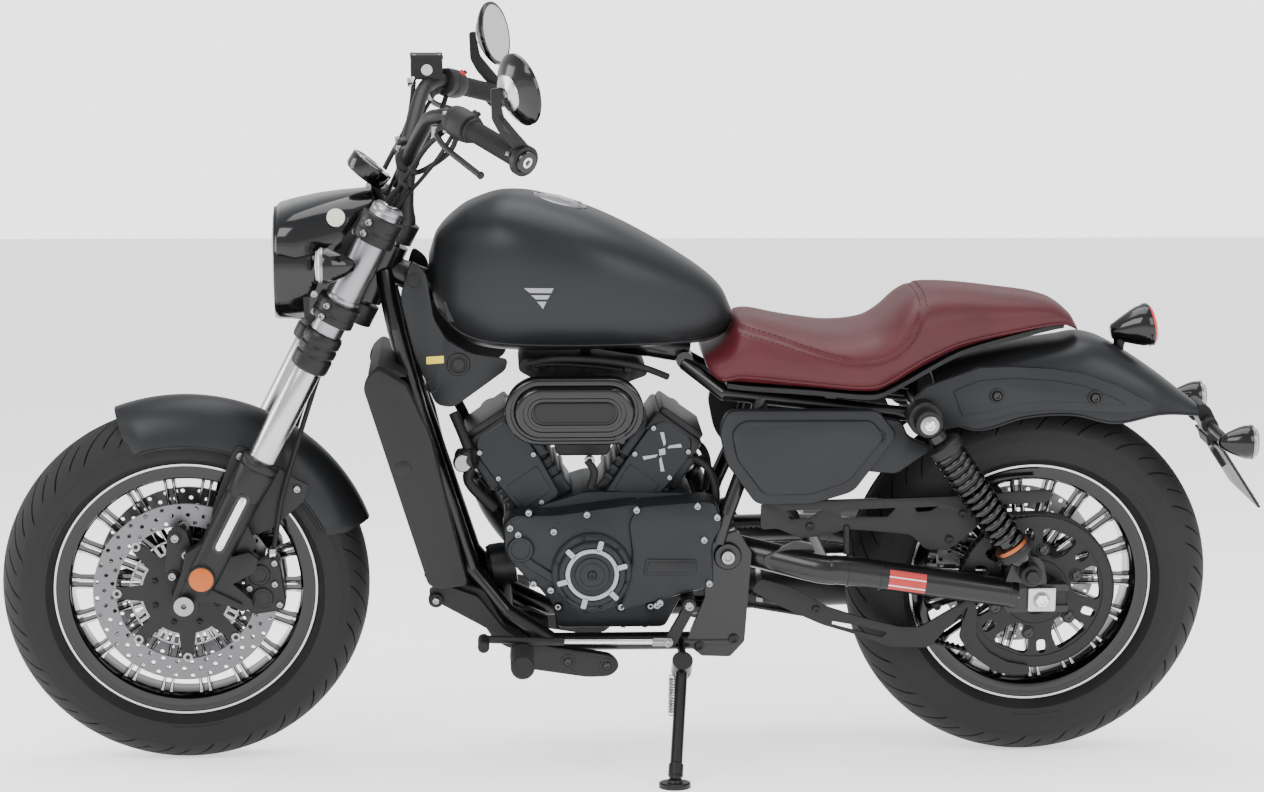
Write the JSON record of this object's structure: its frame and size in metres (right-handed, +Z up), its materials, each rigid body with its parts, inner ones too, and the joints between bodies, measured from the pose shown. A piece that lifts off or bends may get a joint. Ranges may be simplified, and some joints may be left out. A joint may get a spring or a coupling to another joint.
{
  "type": "cruiser motorcycle",
  "caption": "Middleweight V-twin cruiser motorcycle with single seat, belt drive and twin rear shocks, parked leaning on its side stand.",
  "frame": {"origin": "centre of the bottom of the parked bike's box, on the floor", "axes": "+X rearwards along the bike, front wheel towards -X, +Y to the rider's right, +Z up; the bike leans 8 degrees to -Y"},
  "size_m": [2.2025, 0.8634, 1.3508],
  "materials": {
    "frame_black": "satin",
    "engine_grey": "satin",
    "black_plastic": "matte",
    "gloss_black": "gloss",
    "graphite_paint": "matte",
    "red_leather": "satin",
    "shock_black": "satin",
    "lamp_black": "satin",
    "belt_rubber": "matte",
    "exhaust_black": "satin",
    "bright_steel": "polished",
    "caliper_black": "satin",
    "fork_chrome": "polished",
    "grip_rubber": "matte",
    "hose_rubber": "matte",
    "tyre_rubber": "matte",
    "wheel_black": "satin",
    "disc_steel": "brushed"
  },
  "bodies": {
    "chassis": {"frame_tubes": "frame_black", "crankcase": "engine_grey", "front_cylinder": "engine_grey", "rear_cylinder": "engine_grey", "air_box": "black_plastic", "air_filter_cover": "gloss_black", "radiator": "black_plastic", "chin_cover": "engine_grey", "neck_covers": "black_plastic", "fuel_tank": "graphite_paint", "seat": "red_leather", "side_covers": "graphite_paint", "swingarm": "frame_black", "shock_absorbers": "shock_black", "rear_fender": "graphite_paint", "fender_struts": "frame_black", "rear_lights": "lamp_black", "plate_holder": "black_plastic", "drive_belt": "belt_rubber", "belt_guards": "black_plastic", "exhaust": "exhaust_black", "foot_controls": "frame_black", "rear_axle": "bright_steel", "rear_caliper": "caliper_black"},
    "steering": {"triple_clamps": "frame_black", "fork_legs": "fork_chrome", "front_axle": "bright_steel", "front_fender": "graphite_paint", "headlight": "gloss_black", "front_signals": "lamp_black", "handlebar": "frame_black", "grips": "grip_rubber", "hand_controls": "black_plastic", "mirrors": "gloss_black", "instrument": "gloss_black", "front_calipers": "caliper_black", "brake_hoses": "hose_rubber"},
    "front_wheel_body": {"front_tyre": "tyre_rubber", "front_wheel": "wheel_black", "front_discs": "disc_steel"},
    "rear_wheel_body": {"rear_tyre": "tyre_rubber", "rear_wheel": "wheel_black", "rear_pulley": "frame_black"},
    "side_stand_body": {"side_stand": "frame_black"},
    "fuel_cap_body": {"fuel_cap": "bright_steel"}
  },
  "joints": [
    {"name": "steering_turn", "type": "hinge", "parent": "chassis", "child": "steering", "pos_m": [-0.7267, 0.12721, 0.31762], "axis": [0.454, -0.124, 0.8823], "range_deg": [-35, 29]},
    {"name": "front_wheel_spin", "type": "hinge", "parent": "steering", "child": "front_wheel_body", "pos_m": [-0.78153, 0.12467, 0.31723], "axis": [-0.0466, 0.9856, 0.1625], "continuous": true},
    {"name": "rear_wheel_spin", "type": "hinge", "parent": "chassis", "child": "rear_wheel_body", "pos_m": [0.70541, 0.12679, 0.32059], "axis": [0, 0.9903, 0.1392], "continuous": true},
    {"name": "side_stand_fold", "type": "hinge", "parent": "chassis", "child": "side_stand_body", "pos_m": [0.08241, -0.00236, 0.18328], "axis": [0, -0.7887, 0.6148], "range_deg": [0, 90]},
    {"name": "fuel_cap_lid", "type": "hinge", "parent": "chassis", "child": "fuel_cap_body", "pos_m": [-0.17444, 0.03082, 1.0034], "axis": [0, -0.9903, -0.1392], "range_deg": [0, 100]}
  ]
}
